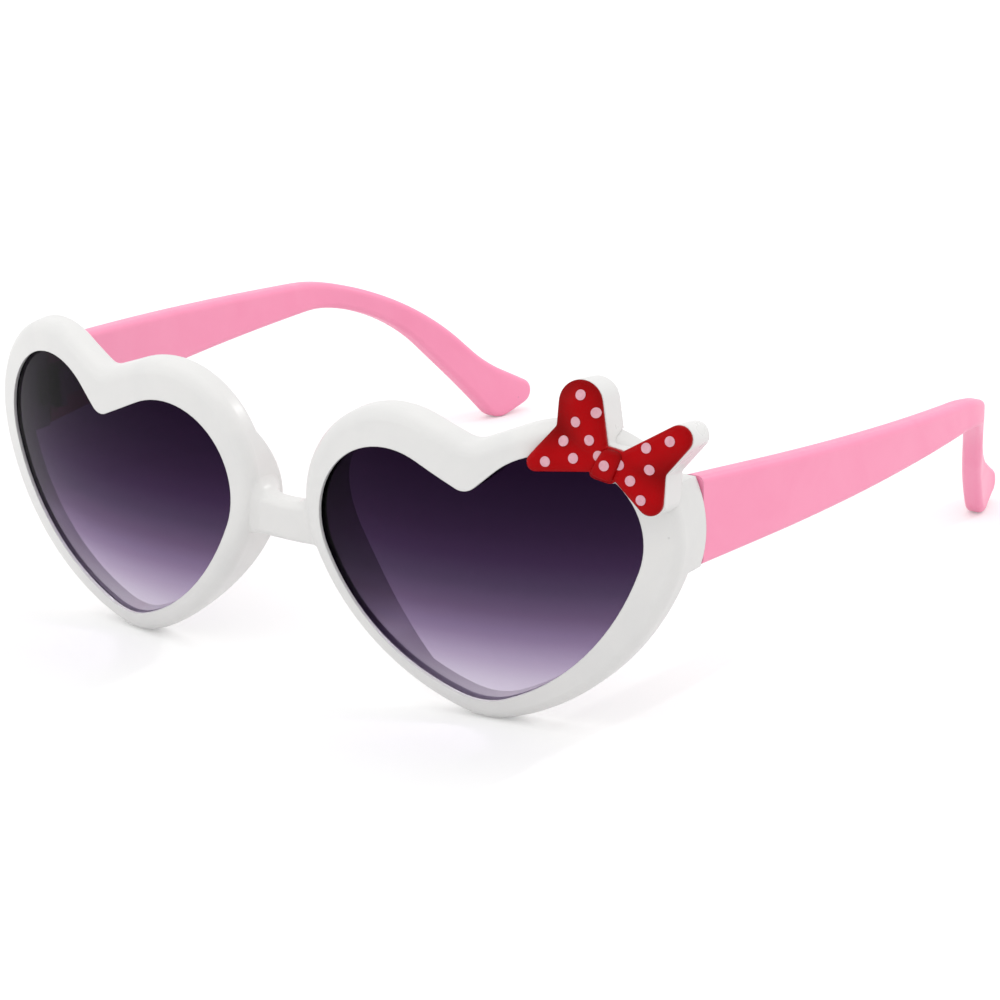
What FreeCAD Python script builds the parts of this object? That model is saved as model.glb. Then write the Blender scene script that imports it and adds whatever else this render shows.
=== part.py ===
import FreeCAD, Part
import math
import os

import Sketcher

# Child's heart-shaped sunglasses: a white moulded front with two spherical tinted lenses, pink side arms
# on three-knuckle metal hinges, and a polka-dot bow on the corner of the wearer's left rim.
# Millimetres. +Z is up, the front looks along -Y, +X is the wearer's left. The glasses stand open on the
# two lower rims and the two arm tips, with the origin on the surface below the middle of their bounds.

doc = FreeCAD.newDocument("heart_sunglasses")
V = FreeCAD.Vector

SIZES = {
    # Middle of the bridge: height above the surface, distance ahead of the origin, lean of the front
    "bridge_height": 23.828,
    "front_ahead": 64.154,
    "front_lean_angle": 4.0,
    # Lens curve: one sphere centre for each side, turned out by the face-form angle
    "lens_mid_x": 33.0,
    "lens_curve": 85.0,
    "face_form_angle": 9.3,
    "lens_thick": 1.5,
    "lens_sunk": 0.0,
    "seat_depth": 0.9,
    "seat_clear": 0.05,
    # Heart opening in the rim: two lobes, blunt tip, bulging sides and a small notch
    "eye_in_x": 20.3,
    "eye_in_y": 4.0,
    "eye_out_x": 45.4,
    "eye_out_y": 5.8,
    "eye_lobe": 12.2,
    "eye_side_in": 36.0,
    "eye_side_out": 36.0,
    "eye_tip_x": 32.7,
    "eye_tip_y": -11.3,
    "eye_tip": 9.5,
    "eye_notch_x": 32.9,
    "eye_notch_y": 14.5,
    "eye_notch": 2.6,
    # Outer heart of the rim
    "rim_in_x": 20.75,
    "rim_in_y": 5.4,
    "rim_out_x": 45.9,
    "rim_out_y": 5.8,
    "rim_lobe": 16.2,
    "rim_side_in": 42.0,
    "rim_side_out": 38.0,
    "rim_tip_x": 32.7,
    "rim_tip_y": -13.2,
    "rim_tip": 11.0,
    "rim_notch_x": 33.0,
    "rim_notch_y": 22.5,
    "rim_notch": 4.1,
    "rim_proud": 0.6,
    "rim_depth": 4.2,
    "rim_front_soft": 2.2,
    "rim_back_soft": 0.8,
    "heart_ahead": 12.0,
    "heart_behind": 30.0,
    # Nose side of each rim, drawn back into a bearing wall whose rear edge is an arc
    "pad_arc": 33.0,
    "pad_arc_back": -25.2,
    "pad_arc_y": -2.5,
    "pad_out_x": 27.0,
    "pad_start": 2.5,
    "pad_soft": 0.6,
    # Bridge bar
    "bridge_half": 6.9,
    "bridge_top_mid": 3.9,
    "bridge_top_end": 5.15,
    "bridge_low_mid": -2.3,
    "bridge_low_end": -2.08,
    "bridge_face": 0.6,
    "bridge_thick": 3.5,
    "bridge_soft": 1.1,
    # End piece behind the outer side of the rim
    "end_reach": 20.0,
    "end_long": 4.5,
    # Hinge line, measured from the middle of the bridge
    "hinge_x": 56.4,
    "hinge_back": 16.25,
    "hinge_rise": 8.0,
    "knuckle": 1.4,
    "knuckle_tall": 2.0,
    "knuckle_gap": 0.05,
    "screw": 0.6,
    "screw_run": 0.03,
    "screw_head": 1.1,
    "screw_head_tall": 0.6,
    "screw_slot": 0.4,
    "screw_slot_deep": 0.3,
    "swing_clear": 0.35,
    "butt_gap": 0.3,
    # Front leaf: a dovetail plate moulded into the end piece
    "anchor_thick": 0.9,
    "anchor_set": 1.0,
    "anchor_reach": 3.9,
    "anchor_half": 2.6,
    "anchor_flare": 0.7,
    # Arm leaf: a plate let into the inner side of the arm and riveted
    "leaf_thick": 0.8,
    "leaf_sunk": 0.4,
    "leaf_start": 1.3,
    "leaf_long": 9.0,
    "leaf_half": 2.9,
    "web_start": 0.45,
    "rivet": 0.55,
    "rivet_head": 0.95,
    "rivet_head_tall": 0.35,
    "rivet_long": 2.2,
    "rivet_first": 3.6,
    "rivet_pitch": 4.2,
    # Arm in side view: level lower edge, falling upper edge, bend, waist and flared tip on the surface
    "arm_low": 26.0,
    "arm_root_low": 25.2,
    "arm_root_tall": 13.0,
    "root_corner": 0.5,
    "root_low_x": "=hinge_back",
    "root_low_y": "=arm_root_low + root_corner",
    "root_top_x": "=hinge_back",
    "root_top_y": "=arm_root_low + arm_root_tall - root_corner",
    "bend_low": 28.0,
    "bend_low_x": 86.2,
    "bend_low_y": "=arm_low - bend_low",
    "tip_low": 3.9,
    "tip_low_x": 122.8,
    "tip_low_y": "=tip_low",
    "tip_top": 2.3,
    "tip_lead": 4.5,
    "tip_top_x": "=tip_low_x + tip_lead",
    "tip_top_y": 3.7,
    "waist": 26.0,
    "waist_off_bend": 0.084,
    "waist_off_tip": 0.639,
    "back_run": "=sqrt((tip_top_x - bend_top_x)^2 + (tip_top_y - bend_top_y)^2)",
    "waist_to_bend": "=bend_top + waist + waist_off_bend",
    "waist_to_tip": "=tip_top + waist + waist_off_tip",
    "waist_along": "=(waist_to_bend^2 - waist_to_tip^2 + back_run^2) / (2 * back_run)",
    "waist_aside": "=sqrt(waist_to_bend^2 - waist_along^2)",
    "waist_x": "=bend_top_x + ((tip_top_x - bend_top_x) * waist_along"
               " - (tip_top_y - bend_top_y) * waist_aside) / back_run",
    "waist_y": "=bend_top_y + ((tip_top_y - bend_top_y) * waist_along"
               " + (tip_top_x - bend_top_x) * waist_aside) / back_run",
    "bend_top": 48.0,
    "bend_top_x": 79.4,
    "bend_top_y": -16.5,
    "blank_wide": 80.0,
    "blank_spare": 5.0,
    # Arm in plan: splayed, bowed outward, turned in behind the ear
    "arm_thick": 3.2,
    "arm_splay_angle": 7.35,
    "arm_straight": 14.0,
    "arm_bow": 300.0,
    "arm_bow_angle": 11.0,
    "ear_turn_radius": 20.0,
    "ear_turn_angle": 24.0,
    "ear_run": 18.0,
    "ear_back_radius": 60.0,
    "ear_back_angle": 16.0,
    "ear_end": 9.0,
    "arm_soft": 1.0,
    # Bow: place on the front and depths of its layers
    "bow_x": 53.1,
    "bow_y": 16.4,
    "bow_sunk": 4.017,
    "bow_lift_angle": 13.28,
    "bow_tilt": 14.3,
    "bow_base_deep": 5.8,
    "bow_face_deep": 1.2,
    "bow_knot_deep": 0.8,
    "bow_edge": 0.25,
    "bow_face_soft": 0.5,
    "bow_knot_soft": 0.5,
    "dot": 0.72,
    "dot_grid": 1.0,
    "dot_deep": 0.1,
    "peg": 0.7,
    "peg_clear": 0.05,
    "peg_deep": 2.0,
    "peg_root": 0.6,
    "peg_end_clear": 0.2,
    "peg_a_x": -3.4,
    "peg_a_y": 3.2,
    "peg_b_x": 4.4,
    "peg_b_y": -1.0,
    # Bow wings: upper lobe, notch, lower lobe and root of each
    "wing_a_up_x": -4.65,
    "wing_a_up_y": 7.95,
    "wing_a_up": 3.05,
    "wing_a_dip_x": -8.75,
    "wing_a_dip_y": 4.85,
    "wing_a_dip": 0.9,
    "wing_a_low_x": -10.8,
    "wing_a_low_y": -0.75,
    "wing_a_low": 1.1,
    "wing_a_root_x": -1.6,
    "wing_a_root_y": 0.6,
    "wing_a_root": 1.5,
    "wing_b_up_x": 9.95,
    "wing_b_up_y": 4.6,
    "wing_b_up": 1.75,
    "wing_b_dip_x": 9.0,
    "wing_b_dip_y": -0.75,
    "wing_b_dip": 0.9,
    "wing_b_low_x": 6.4,
    "wing_b_low_y": -4.35,
    "wing_b_low": 1.7,
    "wing_b_root_x": 2.2,
    "wing_b_root_y": -0.2,
    "wing_b_root": 1.9,
    # Bow knot: four rounded corners
    "knot_a_x": 1.5,
    "knot_a_y": 1.3,
    "knot_b_x": -0.1,
    "knot_b_y": 1.6,
    "knot_c_x": -1.6,
    "knot_c_y": -1.1,
    "knot_d_x": 0.4,
    "knot_d_y": -1.5,
    "knot_corner": 0.8,
}

sheet = doc.addObject("Spreadsheet::Sheet", "Sizes")
for row, (alias, value) in enumerate(SIZES.items(), start=1):
    sheet.set("A%d" % row, alias)
    sheet.set("B%d" % row, str(value))
    sheet.setAlias("B%d" % row, alias)
doc.recompute()


def size(alias):
    """The sheet's value of one named size."""
    return float(sheet.get(alias))


def add(kind, name, bound=None, **fixed):
    """A document object with fixed properties, and properties bound to the sheet by expressions."""
    obj = doc.addObject(kind, name)
    for prop, value in fixed.items():
        setattr(obj, prop, value)
    for prop, formula in (bound or {}).items():
        obj.setExpression(prop, formula)
    return obj


def boolean(kind, name, base, tool):
    obj = add("Part::" + kind, name, Base=base, Tool=tool)
    obj.Refine = False
    return obj


def fuse(name, shapes):
    obj = add("Part::MultiFuse", name, Shapes=shapes)
    obj.Refine = False
    return obj


def mirror(name, source):
    """The same piece on the wearer's right."""
    return add("Part::Mirroring", name, Source=source, Normal=V(1, 0, 0))


def extrude(name, sketch, forward, back=None):
    bound = {"LengthFwd": forward}
    if back:
        bound["LengthRev"] = back
    return add("Part::Extrusion", name, bound, Base=sketch, DirMode="Normal", Solid=True)


def soften(name, base, choose, radius):
    """Rounds the edges of base that choose accepts."""
    doc.recompute()
    edges = [(i, radius, radius) for i, edge in enumerate(base.Shape.Edges, start=1) if choose(edge)]
    return add("Part::Fillet", name, Base=base, Edges=edges)


def edges_on(shape, accept):
    """A test for the edges that bound the faces accepted."""
    kept = [edge for face in shape.Faces if accept(face) for edge in face.Edges]
    return lambda edge: any(edge.isSame(other) for other in kept)


def tangent(c1, r1, c2, r2):
    """Ends of the straight run from circle 1 to circle 2, each on its left (radius > 0) or right (< 0)."""
    along = c2 - c1
    turn = math.atan2(along.y, along.x) + math.acos((r2 - r1) / along.Length)
    left = V(math.cos(turn), math.sin(turn), 0)
    return c1 - left * r1, c2 - left * r2


def inside_arc(c1, r1, c2, r2, radius):
    """Centre and ends of an arc that runs from circle 1 to circle 2 and holds both inside it."""
    along = c2 - c1
    reach1, reach2 = radius - r1, radius - r2
    foot = (reach1 ** 2 - reach2 ** 2 + along.Length ** 2) / (2 * along.Length)
    unit = along * (1 / along.Length)
    centre = c1 + unit * foot + V(-unit.y, unit.x, 0) * math.sqrt(reach1 ** 2 - foot ** 2)
    return centre, centre + (c1 - centre) * (radius / reach1), centre + (c2 - centre) * (radius / reach2)


def arc(centre, radius, start, end):
    """Counter-clockwise arc between two points."""
    a = math.atan2(start.y - centre.y, start.x - centre.x)
    b = math.atan2(end.y - centre.y, end.x - centre.x)
    return Part.ArcOfCircle(Part.Circle(centre, V(0, 0, 1), radius), a, b if b > a else b + 2 * math.pi)


def belt(name, rollers, placement, bulge=None, grow="0"):
    """Closed sketch of a belt round circles taken counter-clockwise. A roller is (sheet name of its centre,
    sheet name of its radius, +1 for an outside corner or -1 for an inside one). bulge gives, by roller, the
    sheet name of the radius of a curved run to the next one. grow is a formula that widens it all round."""
    extra = float(total_of(grow))
    count = len(rollers)
    centres = [V(size(c + "_x"), size(c + "_y"), 0) for c, _, _ in rollers]
    radii = [size(r) * sign + extra for _, r, sign in rollers]
    runs = []
    for i in range(count):
        j = (i + 1) % count
        if bulge and i in bulge:
            runs.append(inside_arc(centres[i], radii[i], centres[j], radii[j], size(bulge[i]) + extra))
        else:
            runs.append((None,) + tangent(centres[i], radii[i], centres[j], radii[j]))
    sketch = add("Sketcher::SketchObject", name)
    sketch.Placement = placement
    first = []
    for i in range(count):
        into, out = runs[i - 1][2], runs[i][1]
        ends = (into, out) if radii[i] > 0 else (out, into)
        first.append(sketch.addGeometry(arc(centres[i], abs(radii[i]), *ends), False))
    for i in range(count):
        j = (i + 1) % count
        hub, start, end = runs[i]
        line = arc(hub, size(bulge[i]) + extra, start, end) if hub else Part.LineSegment(start, end)
        run = sketch.addGeometry(line, False)
        leave, meet = (2 if radii[i] > 0 else 1), (1 if radii[j] > 0 else 2)
        sketch.addConstraint(Sketcher.Constraint("Tangent", first[i], leave, run, 1))
        sketch.addConstraint(Sketcher.Constraint("Tangent", run, 2, first[j], meet))
        if hub:
            curved = Sketcher.Constraint("Radius", run, line.Radius)
            pinned(sketch, curved, "Sizes.%s + %s" % (bulge[i], grow))
    for geo, centre, (c, r, sign) in zip(first, centres, rollers):
        sign_word = "+" if sign > 0 else "-"
        pinned(sketch, Sketcher.Constraint("Radius", geo, abs(size(r) + sign * extra)),
               "Sizes.%s %s (%s)" % (r, sign_word, grow))
        for kind, value, axis in (("DistanceX", centre.x, "_x"), ("DistanceY", centre.y, "_y")):
            away = (-1, 1, geo, 3) if value >= 0 else (geo, 3, -1, 1)
            pinned(sketch, Sketcher.Constraint(kind, *away, abs(value)), "abs(Sizes.%s%s)" % (c, axis))
    return sketch


def total_of(formula):
    """Value of a formula that only adds and takes away sheet sizes."""
    total = 0.0
    for term in formula.replace("-", "+ -").split("+"):
        word = term.strip()
        sign = -1 if word.startswith("-") else 1
        word = word.lstrip("- ")
        if word.startswith("Sizes."):
            total += sign * size(word[len("Sizes."):])
        elif word:
            total += sign * float(word)
    return total


def pinned(sketch, constraint, formula):
    index = sketch.addConstraint(constraint)
    sketch.setExpression("Constraints[%d]" % index, formula)


def at(x, y, z, turn=0.0, axis=V(0, 0, 1)):
    return FreeCAD.Placement(V(x, y, z), FreeCAD.Rotation(axis, turn))


# The front's own frame: x across, y up the leaning front, z out to the viewer, zero at the bridge's middle
front = at(0, -size("front_ahead"), size("bridge_height"), 90 + size("front_lean_angle"), V(1, 0, 0))


def on_front(x, y, z):
    return front.multiply(at(x, y, z))


def heart_rollers(word):
    """Inner lobe, tip, outer lobe and notch of a heart."""
    lobe = word + "_lobe"
    return [(word + "_in", lobe, 1), (word + "_tip", word + "_tip", 1), (word + "_out", lobe, 1),
            (word + "_notch", word + "_notch", -1)]


EYE = heart_rollers("eye")
RIM = heart_rollers("rim")


def heart(name, rollers, word, grow="0"):
    """A heart drawn on the front's plane and run through it from before to behind."""
    outline = belt(name + "_outline", rollers, front, {0: word + "_side_in", 1: word + "_side_out"}, grow)
    return extrude(name, outline, "Sizes.heart_ahead", "Sizes.heart_behind")


def shell(name, outer, inner):
    """Spherical layer about the lens centre between two radii given as formulas."""
    turn = math.radians(size("face_form_angle"))
    reach = size("lens_curve")
    hub = on_front(size("lens_mid_x") - reach * math.sin(turn), 0, -reach * math.cos(turn))
    balls = []
    for word, formula in (("outside", outer), ("inside", inner)):
        ball = add("Part::Sphere", "%s_%s" % (name, word), {"Radius": formula})
        ball.Placement = FreeCAD.Placement(hub.Base, FreeCAD.Rotation())
        balls.append(ball)
    return boolean("Cut", name, *balls)


RIM_FACE = "Sizes.lens_curve + Sizes.rim_proud"
LENS_FACE = "Sizes.lens_curve - Sizes.lens_sunk"
LENS_BACK = "Sizes.lens_curve - Sizes.lens_sunk - Sizes.lens_thick"

# Lenses: spherical pieces a little larger than the opening, snapped into the groove of the rim
lens_layer = shell("lens_layer", LENS_FACE, LENS_BACK)
lens_heart = heart("lens_heart", EYE, "eye", "Sizes.seat_depth - Sizes.seat_clear")
lens_left = boolean("Common", "lens_left", lens_heart, lens_layer)
lens_right = mirror("lens_right", lens_left)

# Rim of the wearer's left side: outer heart cut from a spherical layer, softened before and behind
rim_layer = shell("rim_layer", RIM_FACE, "Sizes.lens_curve + Sizes.rim_proud - Sizes.rim_depth")
rim_heart = heart("rim_heart", RIM, "rim")
rim_blank = boolean("Common", "rim_blank", rim_heart, rim_layer)
doc.recompute()


def spherical(radius):
    return lambda face: isinstance(face.Surface, Part.Sphere) and abs(face.Surface.Radius - radius) < 1e-6


rim_face_radius = size("lens_curve") + size("rim_proud")
rim_back_radius = rim_face_radius - size("rim_depth")
front_edges = edges_on(rim_blank.Shape, spherical(rim_face_radius))
rim_part = soften("rim_part", rim_blank, front_edges, size("rim_front_soft"))
doc.recompute()
back_edges = edges_on(rim_part.Shape, spherical(rim_back_radius))
rim_soft = soften("rim_soft", rim_part, back_edges, size("rim_back_soft"))

# Nose bearing wall: the nose side of the outer heart, carried back to an arc
pad_drum = add("Part::Cylinder", "pad_drum", {"Radius": "Sizes.pad_arc", "Height": "Sizes.pad_out_x"})
lying = at(0, 0, 0, 90, V(0, 1, 0))
pad_drum.Placement = on_front(0, size("pad_arc_y"), -size("pad_arc_back")).multiply(lying)
pad_block = add("Part::Box", "pad_block", {"Length": "Sizes.pad_out_x", "Width": "2 * Sizes.pad_arc",
                                           "Height": "Sizes.pad_arc"})
pad_block.Placement = on_front(0, size("pad_arc_y") - size("pad_arc"), -size("pad_start") - size("pad_arc"))
pad_limit = boolean("Common", "pad_limit", pad_drum, pad_block)
pad_raw = boolean("Common", "pad_raw", rim_heart, pad_limit)

# End piece: the outer side of the heart carried back to the joint with the arm
hinge_y = size("hinge_back") - size("front_ahead")
hinge_z = size("bridge_height") + size("hinge_rise")
inner_side = size("hinge_x") + size("knuckle") + size("swing_clear")
end_block = add("Part::Box", "end_block", {
    "Length": "Sizes.end_reach", "Width": "Sizes.end_long", "Height": "Sizes.arm_root_tall"})
end_block.Placement = at(inner_side, hinge_y - size("butt_gap") / 2 - size("end_long"), size("arm_root_low"))
end_piece = boolean("Common", "end_piece", rim_heart, end_block)


# Front leaf of the hinge: two knuckles on a dovetail plate that is moulded into the end piece
def hinge_place(turn=0.0):
    return at(size("hinge_x"), hinge_y, hinge_z, turn)


def round_bar(name, radius, tall, low, place):
    """Upright cylinder about the hinge line, from a height below or above its middle."""
    bar = add("Part::Cylinder", name, {"Radius": radius, "Height": tall})
    bar.Placement = place.multiply(at(0, 0, low))
    return bar


tall = size("knuckle_tall")
stack = 1.5 * tall
open_place = hinge_place()
splay_place = hinge_place(-size("arm_splay_angle"))
knuckle_low = round_bar("knuckle_low", "Sizes.knuckle", "Sizes.knuckle_tall", -stack, open_place)
knuckle_top = round_bar("knuckle_top", "Sizes.knuckle", "Sizes.knuckle_tall", tall / 2, open_place)
anchor = add("Part::Wedge", "anchor", {
    "Xmin": "Sizes.anchor_set", "Xmax": "Sizes.anchor_set + Sizes.anchor_thick",
    "X2min": "Sizes.anchor_set", "X2max": "Sizes.anchor_set + Sizes.anchor_thick",
    "Ymin": "0", "Ymax": "Sizes.anchor_reach",
    "Zmin": "-Sizes.anchor_half", "Zmax": "Sizes.anchor_half",
    "Z2min": "-Sizes.anchor_half - Sizes.anchor_flare", "Z2max": "Sizes.anchor_half + Sizes.anchor_flare"})
anchor.Placement = hinge_place(-90)
leaf_solid = fuse("leaf_solid", [knuckle_low, knuckle_top, anchor])
middle_room = round_bar("middle_room", "Sizes.knuckle + Sizes.swing_clear", "Sizes.knuckle_tall", -tall / 2,
                        open_place)
screw_hole = round_bar("screw_hole", "Sizes.screw", "3 * Sizes.knuckle_tall", -stack, open_place)
leaf_room = fuse("leaf_room", [middle_room, screw_hole])
front_leaf_left = boolean("Cut", "hinge_front_leaf_left", leaf_solid, leaf_room)
front_leaf_right = mirror("hinge_front_leaf_right", front_leaf_left)

# Hinge screw: plain shank with a slotted head on the upper knuckle
shank = round_bar("shank", "Sizes.screw", "3 * Sizes.knuckle_tall", -stack, open_place)
head = round_bar("head", "Sizes.screw_head", "Sizes.screw_head_tall", stack, open_place)
screw_solid = fuse("screw_solid", [shank, head])
slot = add("Part::Box", "slot", {"Length": "4 * Sizes.screw_head", "Width": "Sizes.screw_slot",
                                 "Height": "Sizes.screw_slot_deep"})
slot.Placement = open_place.multiply(at(-2 * size("screw_head"), -size("screw_slot") / 2,
                                        stack + size("screw_head_tall") - size("screw_slot_deep")))
screw_left = boolean("Cut", "hinge_screw_left", screw_solid, slot)
screw_right = mirror("hinge_screw_right", screw_left)

# Arm leaf of the hinge: middle knuckle, web and a plate let into the inner side of the arm
inner_off = size("knuckle") + size("swing_clear")
plate_from = inner_off + size("leaf_sunk") - size("leaf_thick")
half_tall = tall / 2 - size("knuckle_gap")
knuckle_mid = round_bar("knuckle_mid", "Sizes.knuckle", "Sizes.knuckle_tall - 2 * Sizes.knuckle_gap",
                        -half_tall, splay_place)
web = add("Part::Box", "web", {"Length": "Sizes.knuckle + Sizes.swing_clear + Sizes.leaf_sunk",
                               "Width": "Sizes.leaf_start + Sizes.leaf_thick - Sizes.web_start",
                               "Height": "Sizes.knuckle_tall - 2 * Sizes.knuckle_gap"})
web.Placement = splay_place.multiply(at(0, size("web_start"), -half_tall))
plate = add("Part::Box", "plate", {"Length": "Sizes.leaf_thick", "Width": "Sizes.leaf_long",
                                   "Height": "2 * Sizes.leaf_half"})
plate.Placement = splay_place.multiply(at(plate_from, size("leaf_start"), -size("leaf_half")))
arm_leaf_solid = fuse("arm_leaf_solid", [knuckle_mid, web, plate])
run_hole = round_bar("run_hole", "Sizes.screw + Sizes.screw_run", "Sizes.knuckle_tall", -tall / 2,
                     splay_place)

# Rivets: two through the plate into the arm, with low round heads on the plate
rivet_shanks = []
rivet_heads = []
for word, step in (("a", 0), ("b", 1)):
    along = size("rivet_first") + step * size("rivet_pitch")
    pin = add("Part::Cylinder", "rivet_pin_" + word, {"Radius": "Sizes.rivet", "Height": "Sizes.rivet_long"})
    pin.Placement = splay_place.multiply(at(plate_from, along, 0)).multiply(lying)
    cap = add("Part::Cylinder", "rivet_cap_" + word, {
        "Radius": "Sizes.rivet_head", "Height": "Sizes.rivet_head_tall"})
    cap.Placement = splay_place.multiply(at(plate_from - size("rivet_head_tall"), along, 0)).multiply(lying)
    rivet_shanks.append(pin)
    rivet_heads.append(cap)
rivets_left = fuse("leaf_rivets_left", rivet_shanks + rivet_heads)
rivets_right = mirror("leaf_rivets_right", rivets_left)
arm_leaf_room = fuse("arm_leaf_room", [run_hole] + rivet_shanks)
arm_leaf_left = boolean("Cut", "hinge_temple_leaf_left", arm_leaf_solid, arm_leaf_room)
arm_leaf_right = mirror("hinge_temple_leaf_right", arm_leaf_left)


# Arm: a strip bent in plan, cut to its outline in side view
def strip(name, start, thick, runs, end_turn, place):
    """Closed sketch of a strip that follows runs (length, 0) or (radius, turn in degrees, left positive),
    heading +y from its inner front corner at start. end_turn slants the front end."""
    sketch = add("Sketcher::SketchObject", name)
    sketch.Placement = place
    slant = math.tan(math.radians(end_turn)) * thick
    near, far = V(*start), V(start[0] + thick, start[1] + slant)
    heading = 90.0
    first = (near, far)
    edges = []
    for length, turn in runs:
        way = V(math.cos(math.radians(heading)), math.sin(math.radians(heading)), 0)
        side = V(-way.y, way.x, 0)
        if turn == 0:
            ahead = near + way * length
            across = ahead - side * thick
            edges.append((Part.LineSegment(near, ahead), Part.LineSegment(far, across)))
        else:
            sign = 1 if turn > 0 else -1
            hub = near + side * (length * sign)
            swing = FreeCAD.Rotation(V(0, 0, 1), turn)
            ahead = hub + swing.multVec(near - hub)
            across = hub + swing.multVec(far - hub)
            pair = []
            for a, b in ((near, ahead), (far, across)):
                pair.append(arc(hub, (a - hub).Length, *((a, b) if turn > 0 else (b, a))))
            edges.append(tuple(pair))
            heading += turn
        near, far = ahead, across
    for pair in edges:
        for edge in pair:
            sketch.addGeometry(edge, False)
    sketch.addGeometry(Part.LineSegment(*first), False)
    sketch.addGeometry(Part.LineSegment(near, far), False)
    return sketch


splay = math.radians(size("arm_splay_angle"))
arm_start = (size("butt_gap") / 2 + inner_off * math.sin(splay)) / math.cos(splay)
arm_runs = [
    (size("arm_straight"), 0),
    (size("arm_bow"), size("arm_bow_angle")),
    (size("ear_turn_radius"), size("ear_turn_angle")),
    (size("ear_run"), 0),
    (size("ear_back_radius"), -size("ear_back_angle")),
    (size("ear_end"), 0),
]
arm_plan = strip("arm_plan", (inner_off, arm_start, 0), size("arm_thick"), arm_runs, size("arm_splay_angle"),
                 at(size("hinge_x"), hinge_y, 0, -size("arm_splay_angle")))
arm_strip = extrude("arm_strip", arm_plan, "Sizes.arm_root_low + Sizes.arm_root_tall + Sizes.blank_spare",
                    "Sizes.blank_spare")
SIDE = [("root_low", "root_corner", 1), ("bend_low", "bend_low", -1), ("tip_low", "tip_low", 1),
        ("tip_top", "tip_top", 1), ("waist", "waist", -1), ("bend_top", "bend_top", 1),
        ("root_top", "root_corner", 1)]
side_view = FreeCAD.Placement(V(0, -size("front_ahead"), 0), FreeCAD.Rotation(V(1, 1, 1), 120))
arm_side = extrude("arm_side", belt("arm_side_outline", SIDE, side_view), "Sizes.blank_wide")
arm_blank = boolean("Common", "arm_blank", arm_strip, arm_side)


def runs_along(edge):
    """True for the long edges of the arm, not the seams across its thickness or up its height."""
    ends = edge.Vertexes
    return not (isinstance(edge.Curve, Part.Line) and abs(ends[0].Y - ends[-1].Y) < 0.3)


arm_soft = soften("arm_soft", arm_blank, runs_along, size("arm_soft"))
arm_fixings = fuse("arm_fixings", [arm_leaf_solid] + rivet_shanks)
temple_left = boolean("Cut", "temple_left", arm_soft, arm_fixings)
temple_right = mirror("temple_right", temple_left)

# Front: rims, nose walls and end pieces of both sides, joined by the bridge
doc.recompute()


def rear_edge(edge):
    return all(abs(v.X - size("pad_out_x")) > 0.01 for v in edge.Vertexes)


def on_drum(face):
    return isinstance(face.Surface, Part.Cylinder) and abs(face.Surface.Radius - size("pad_arc")) < 1e-6


drum_edges = edges_on(pad_raw.Shape, on_drum)
pad_soft = soften("pad_soft", pad_raw, lambda edge: drum_edges(edge) and rear_edge(edge), size("pad_soft"))
half_solid = fuse("half_solid", [rim_soft, pad_soft, end_piece])
opening = heart("opening", EYE, "eye")
seat_layer = shell("seat_layer", LENS_FACE + " + Sizes.seat_clear", LENS_BACK + " - Sizes.seat_clear")
seat = boolean("Common", "seat", heart("seat_heart", EYE, "eye", "Sizes.seat_depth"), seat_layer)
half_room = fuse("half_room", [opening, seat, leaf_solid])
half_front = boolean("Cut", "half_front", half_solid, half_room)
other_half = mirror("other_half", half_front)
bar = add("Sketcher::SketchObject", "bridge_outline")
bar.Placement = on_front(0, 0, -size("bridge_face"))
half = size("bridge_half")
top_end, top_mid = size("bridge_top_end"), size("bridge_top_mid")
low_end, low_mid = size("bridge_low_end"), size("bridge_low_mid")
bar.addGeometry(Part.Arc(V(-half, top_end, 0), V(0, top_mid, 0), V(half, top_end, 0)), False)
bar.addGeometry(Part.LineSegment(V(half, top_end, 0), V(half, low_end, 0)), False)
bar.addGeometry(Part.Arc(V(half, low_end, 0), V(0, low_mid, 0), V(-half, low_end, 0)), False)
bar.addGeometry(Part.LineSegment(V(-half, low_end, 0), V(-half, top_end, 0)), False)
bridge_raw = extrude("bridge_raw", bar, "0", "Sizes.bridge_thick")


def runs_across(edge):
    """True for the edges of the bridge bar that run from rim to rim."""
    return edge.BoundBox.XLength > size("bridge_half")


bridge = soften("bridge", bridge_raw, runs_across, size("bridge_soft"))
front_plain = fuse("front_plain", [half_front, other_half, bridge])

# Bow, in its own frame: x across, y up, z out of its face, zero on its back. Its back is sunk below the rim's
# face at the bow's middle, and it is turned less than the rim's face is there
lens_hub = rim_layer.Base.Placement.Base
hub_on_front = front.inverse().multVec(lens_hub)
bow_across = size("bow_x") - hub_on_front.x
face_there = hub_on_front.z + math.sqrt(rim_face_radius ** 2 - bow_across ** 2 - size("bow_y") ** 2)
bow_turn = math.degrees(math.asin(bow_across / rim_face_radius)) - size("bow_lift_angle")
bow = front.multiply(FreeCAD.Placement(
    V(size("bow_x"), size("bow_y"), face_there - size("bow_sunk")),
    FreeCAD.Rotation(V(0, 1, 0), bow_turn).multiply(FreeCAD.Rotation(V(1, 0, 0), -size("bow_tilt")))))


def on_bow(height):
    return bow.multiply(at(0, 0, height))


def wing(word):
    return [("wing_%s_%s" % (word, part), "wing_%s_%s" % (word, part), sign)
            for part, sign in (("up", 1), ("dip", -1), ("low", 1), ("root", 1))]


WING_A = wing("a")
WING_B = wing("b")
WING_B.reverse()
KNOT = [("knot_" + word, "knot_corner", 1) for word in "abcd"]


def upper(height):
    """A test for the edges that lie wholly at one height of the bow."""
    flat = bow.inverse()
    return lambda edge: all(abs(flat.multVec(p).z - height) < 1e-4 for p in edge.discretize(4))


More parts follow.
